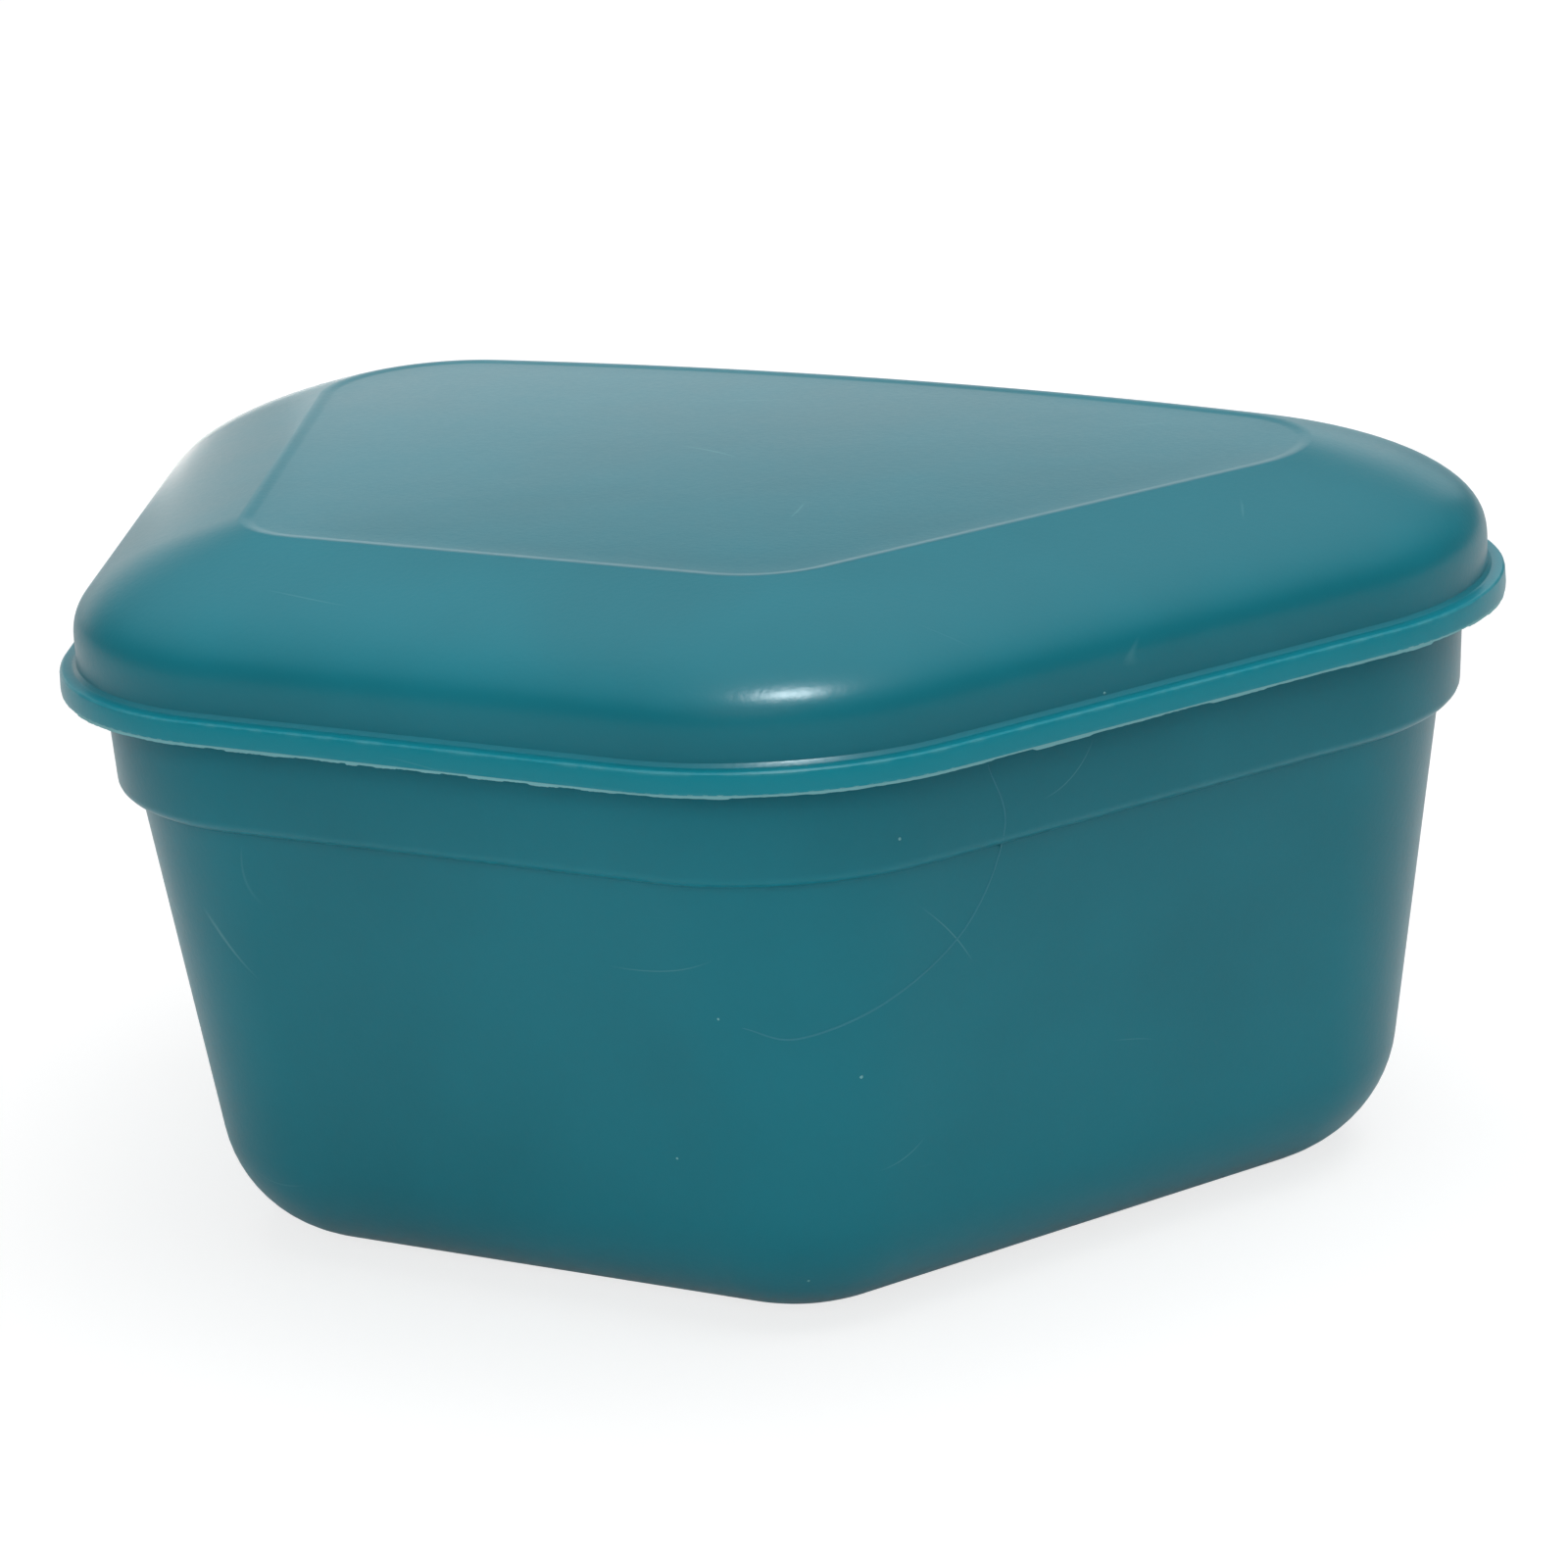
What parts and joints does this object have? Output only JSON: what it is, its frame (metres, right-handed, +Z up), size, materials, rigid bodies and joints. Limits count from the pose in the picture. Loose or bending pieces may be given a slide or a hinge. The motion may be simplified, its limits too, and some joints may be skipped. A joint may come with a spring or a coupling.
{
  "type": "denture case",
  "caption": "Deep tapered bowl with a domed snap lid, holding a lift-out strainer basket with a swing handle.",
  "frame": {"origin": "middle of the overall outline, on the surface that the case stands on", "axes": "+Z up, the short front side faces -Y, the bowed back faces +Y, and the case is mirrored about X = 0"},
  "size_m": [0.092, 0.0694, 0.0452],
  "materials": {
    "bowl_plastic": "satin moulded polypropylene, dark teal",
    "lid_plastic": "satin moulded polypropylene, dark teal, brighter at the thin flange",
    "basket_plastic": "natural white moulded polypropylene"
  },
  "bodies": {
    "bowl": {"bowl": "bowl_plastic"},
    "lid": {"lid": "lid_plastic"},
    "basket": {"strainer_basket": "basket_plastic"},
    "handle": {"basket_handle": "basket_plastic"}
  },
  "joints": [
    {"name": "lid_lift", "type": "slide", "parent": "bowl", "child": "lid", "axis": [0, 0, 1], "range_m": [0, 0.08]},
    {"name": "basket_lift", "type": "slide", "parent": "bowl", "child": "basket", "axis": [0, 0, 1], "range_m": [0, 0.04]},
    {"name": "handle_swing", "type": "hinge", "parent": "basket", "child": "handle", "pos_m": [0, 0.003, 0.0343], "axis": [-1, 0, 0], "range_deg": [0, 90]}
  ],
  "couplings": [
    {"joint": "basket_lift", "follows": "lid_lift", "ratio": 0.5},
    {"joint": "handle_swing", "follows": "lid_lift", "rad_per_m": 19.635}
  ]
}
